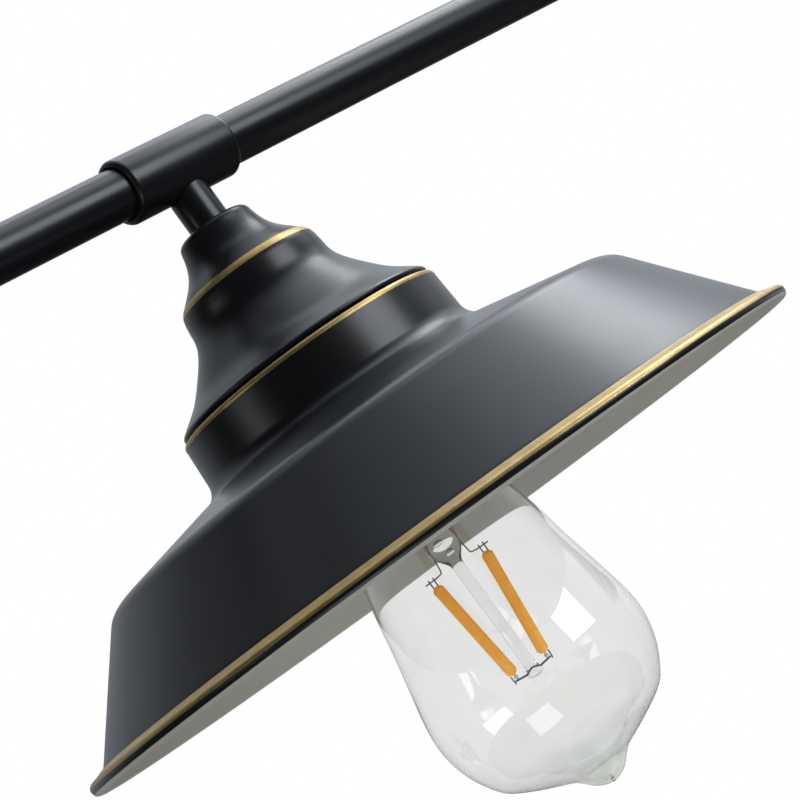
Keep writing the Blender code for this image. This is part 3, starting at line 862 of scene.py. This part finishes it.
def make_bulb(side, paints):
    """The blown glass, thicker at its tip, and what it holds."""
    outer = glass_outline()
    inner = [(max(0.0, r), z) for r, z in offset(outer[:-3], BULB_WALL)] + [(0.0, BULB_TIP + 2.2)]
    glass = lathe("bulb_envelope_" + side, outer + inner[::-1], segments=128, place=head_place(side),
                  sharp=60)
    fit(glass, "bulb_" + side, "clear_glass", paints["glass"], "bulb_glass_" + side)
    make_filaments(side, paints)
    make_glass_stem(side, paints)
    make_base(side, paints)


# ---------------------------------------------------------------- sockets, canopy and small parts

def knurl(piece, count, depth, low, high):
    """Press upright grips into a turned piece, between two heights in millimetres."""
    for vertex in piece.data.vertices:
        if low < vertex.co.z / MM < high:
            angle = math.atan2(vertex.co.y, vertex.co.x)
            shrink = 1 - depth * (0.5 + 0.5 * math.cos(count * angle))
            vertex.co.x *= shrink
            vertex.co.y *= shrink


def make_socket(side, paints):
    """The lamp holder's domed body, its threaded shell, and the ring nut that clamps the shade to it."""
    place = head_place(side)
    body_line = rounded([(5.3, 92.4, 0), (11, 92.4, 3), (18.1, 84.5, 4), (18.1, 64, 0.4), (21.9, 63.2, 0.8),
                         (21.9, 60.9, 0.4), (19.4, 60.9, 0.2), (19.4, 39.1, 0.8), (15.9, 39.1, 0.5),
                         (14.1, 42.5, 0.5), (14.1, 71, 0.5), (5.3, 73, 0)], 5)
    body = lathe("holder_" + side, body_line, segments=72, place=place)
    fit(body, "lamp", "phenolic", paints["phenolic"], "socket_body_" + side)
    low, high = heights("socket_shell_" + side)
    shell = threaded("holder_thread_" + side, low, high, SHELL_RADIUS, 0.35, SHELL_RADIUS + THREAD_DEPTH,
                     0.5, 1.0)
    shell.location = place
    fit(shell, "lamp", "brass", paints["brass"], "socket_shell_" + side)
    low, high = heights("shade_ring_" + side)
    ring_line = rounded([(19.7, high, 0), (23.9, high, 0.5), (23.9, low, 0.5), (19.7, low, 0)], 5)
    ring = lathe("ring_nut_" + side, ring_line, segments=192, place=place)
    knurl(ring, 32, 0.02, low + 0.2, high - 0.2)
    fit(ring, "lamp", "phenolic", paints["phenolic"], "shade_ring_" + side)


def make_end_cap(side, sign, paints):
    """A low domed plug in the end of the bar."""
    line = rounded([(0, 5, 0), (5.2, 4.6, 6), (8.05, 2.4, 0.8), (8.05, 0.3, 0.4), (5.8, 0.3, 0.2),
                    (5.8, -9, 0.5), (0, -9, 0)], 6)
    end_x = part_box("bar_" + side)[sign > 0].x
    plug = lathe("end_plug_" + side, line, closed=False, segments=72, place=(end_x, 0, BAR_Z),
                 turn=along_bar(sign))
    fit(plug, "lamp", "black_paint", paints["black"], "end_cap_" + side)


def make_swivel(side, paints):
    """The steel ball at the top of a rod, resting in its hole in the canopy."""
    ball_line = arc(0, 0, BALL_RADIUS, 62, -63, 24) + [(5.15, -10.5), (5.15, 10.5)]
    ball = lathe("ball_" + side, ball_line, segments=72, place=(ROD_X[side], 0, SWIVEL_Z))
    fit(ball, "lamp", "zinc", paints["zinc"], "swivel_ball_" + side)


def make_canopy_screw(side, paints):
    """A knurled screw that holds the canopy up against its bracket."""
    middle = middle_of("canopy_screw_" + side)
    low, high = (corner.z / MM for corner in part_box("canopy_screw_" + side))
    line = rounded([(0, high, 0), (1.9, high, 0.4), (1.9, low + 7, 0), (5.95, low + 7, 0.5),
                    (5.95, low + 2, 1.0), (4.4, low, 1.0), (0, low, 0)], 5)
    screw = lathe("thumb_screw_" + side, divide(line, 1.5), closed=False, segments=144,
                  place=(middle.x, middle.y, 0))
    knurl(screw, 24, 0.06, low + 2.4, low + 6.4)
    fit(screw, "canopy", "black_paint", paints["black"], "canopy_screw_" + side)


def rounded_rectangle(shape, length, width, corner, z):
    """A ring of new vertices round a rectangle with round corners, in millimetres."""
    steps = 10
    ring = []
    for quarter, (sign_x, sign_y) in enumerate(((1, 1), (-1, 1), (-1, -1), (1, -1))):
        for step in range(steps + 1):
            angle = math.pi / 2 * (quarter + step / steps)
            x = sign_x * (length / 2 - corner) + corner * math.cos(angle)
            y = sign_y * (width / 2 - corner) + corner * math.sin(angle)
            ring.append(shape.verts.new((x * MM, y * MM, z * MM)))
    return ring


def drill(piece, x, radius, low, high):
    """Cut a round upright hole through a piece."""
    bit = lathe("bit", [(0, high), (radius, high), (radius, low), (0, low)], closed=False, segments=72,
                place=(x, 0, 0))
    cut = piece.modifiers.new("hole", "BOOLEAN")
    cut.operation = "DIFFERENCE"
    cut.object = bit
    evaluated = piece.evaluated_get(bpy.context.evaluated_depsgraph_get())
    mesh = bpy.data.meshes.new_from_object(evaluated)
    piece.modifiers.clear()
    piece.data = mesh
    bpy.data.objects.remove(bit)


def pan_shell(length, width, depth):
    """The ceiling pan's two sides, joined at its open top: straight walls and a rounded lower edge."""
    sections = [(0.0, 0.0), (0.0, CANOPY_EDGE - depth)]       # (inset, height) of the outer side
    for step in range(1, 7):
        turn = math.pi / 2 * step / 6
        sections.append((CANOPY_EDGE * (1 - math.cos(turn)),
                         CANOPY_EDGE - depth - CANOPY_EDGE * math.sin(turn)))
    shape = bmesh.new()

    def ring(inset, z):
        return rounded_rectangle(shape, length - 2 * inset, width - 2 * inset, CANOPY_CORNER - inset, z)

    outside = [ring(inset, z) for inset, z in sections]
    inside = [ring(inset + CANOPY_WALL, z + CANOPY_WALL if z else 0.0) for inset, z in sections]
    rings = inside[::-1] + outside
    for a, b in zip(rings, rings[1:]):
        for i in range(len(a)):
            shape.faces.new((a[i - 1], b[i - 1], b[i], a[i]))
    shape.faces.new(outside[-1][::-1])
    shape.faces.new(inside[-1])
    bmesh.ops.recalc_face_normals(shape, faces=shape.faces)
    return finish_mesh("ceiling_pan", shape, 35)


def make_canopy(paints):
    """The ceiling pan, with two holes that its rods swivel in and two for its screws."""
    low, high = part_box("canopy")
    length, width, depth = (high - low) / MM
    pan = pan_shell(length, width, depth)
    for side in ENDS:
        drill(pan, ROD_X[side], ROD_HOLE, -2 * depth, -depth / 2)
        drill(pan, middle_of("canopy_screw_" + side).x, SCREW_HOLE, -2 * depth, -depth / 2)
    pan.data.set_sharp_from_angle(angle=math.radians(35))
    fit(pan, "canopy", "black_paint", paints["black"], "canopy")


def soften(node, width):
    """Break the sharp edges of a part that keeps its own shape."""
    bevel = node.modifiers.new("edges", "BEVEL")
    bevel.width = width * MM
    bevel.segments = 2
    bevel.limit_method = "ANGLE"
    bevel.angle_limit = math.radians(50)


# ---------------------------------------------------------------- build everything

def make_paints():
    """All the lamp's materials, by short names."""
    return {"black": painted_black(), "gold": painted_gold(), "white": painted_white(),
            "brass": metal("brass", (0.50, 0.34, 0.14), (0.72, 0.52, 0.25), 0.30),
            "zinc": metal("zinc_plate", (0.48, 0.48, 0.50), (0.64, 0.64, 0.66), 0.35),
            "copper": metal("copper", (0.45, 0.20, 0.14), (0.62, 0.30, 0.20), 0.35),
            "dark_wire": metal("dark_wire", (0.10, 0.10, 0.10), (0.22, 0.22, 0.22), 0.38),
            "phenolic": plastic("black_phenolic", (0.012, 0.012, 0.012), (0.020, 0.020, 0.020), 0.42),
            "nylon": plastic("white_nylon", (0.74, 0.73, 0.69), (0.82, 0.81, 0.77), 0.45),
            "glass": clear_glass("bulb_glass", 0.00008),
            "stem_glass": clear_glass("stem_glass", 0.0002),
            "phosphor": phosphor()}


def paint_cad_pieces(paints):
    """Give each of the CAD's own pieces the material of its slot, for those that no new piece replaces."""
    slots = {row["node"]: row["material_slot"] for row in frame["record"]["subparts"]}
    finishes = {"black_paint": "black", "brass": "brass", "zinc": "zinc", "phenolic": "phenolic",
                "white_nylon": "nylon", "clear_glass": "stem_glass", "phosphor": "phosphor"}
    for name, node in frame["nodes"].items():
        node.data.materials.clear()
        node.data.materials.append(paints[finishes[slots[name]]])


def build():
    """The studio, then every piece of the lamp."""
    paints = make_paints()
    paint_cad_pieces(paints)
    make_camera()
    make_world()
    for name, light in SOFTBOXES.items():
        softbox(name, *light)
    make_floor(pale_floor())
    for side in SIDES:
        make_shade(side, paints)
        make_cap(side, paints)
        make_stem(side, paints)
        make_collar("bar_sleeve_" + side, HEAD_X[side], paints, "tee_collar_" + side)
        make_bulb(side, paints)
        make_socket(side, paints)
    for side, sign in ENDS.items():
        make_collar("rod_sleeve_" + side, ROD_X[side], paints, "rod_collar_" + side)
        make_end_cap(side, sign, paints)
        make_swivel(side, paints)
        make_canopy_screw(side, paints)
    make_bars(paints)
    make_rods(paints)
    make_canopy(paints)
    soften(frame["nodes"]["bracket"], 0.4)
    soften(frame["nodes"]["terminal_block"], 0.5)


bpy.context.scene.view_settings.view_transform = "Standard"
build()
